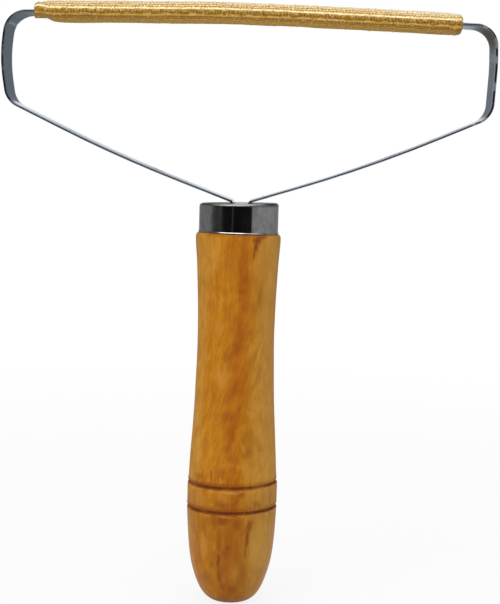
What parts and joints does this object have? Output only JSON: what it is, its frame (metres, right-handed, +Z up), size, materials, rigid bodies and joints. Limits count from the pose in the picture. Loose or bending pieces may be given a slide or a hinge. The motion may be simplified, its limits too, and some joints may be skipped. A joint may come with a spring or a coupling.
{
  "type": "lint remover",
  "caption": "Hand-held lint remover: a turned wooden handle with a metal ferrule holds a bent flat strip, whose top bar carries a padded sleeve of fine metal mesh.",
  "frame": {"origin": "centre of the small flat at the butt of the handle, on the handle's axis", "axes": "+Z up along the handle towards the head, +X to the right along the head's bar as the picture shows it, +Y away from the viewer, through the head's thickness"},
  "size_m": [0.1366, 0.0256, 0.1698],
  "materials": {
    "handle_wood": "turned and varnished, satin",
    "ferrule_chrome": "polished plate",
    "strip_steel": "bright rolled strip",
    "wedge_wood": "bare wood",
    "brass_mesh": "fine knitted ribbon wire",
    "pad_felt": "pressed felt"
  },
  "bodies": {
    "root": {"handle": "handle_wood", "ferrule": "ferrule_chrome", "frame_strip": "strip_steel", "tang_wedge": "wedge_wood", "mesh_sleeve": "brass_mesh", "upper_pad": "pad_felt", "lower_pad": "pad_felt"}
  },
  "joints": []
}
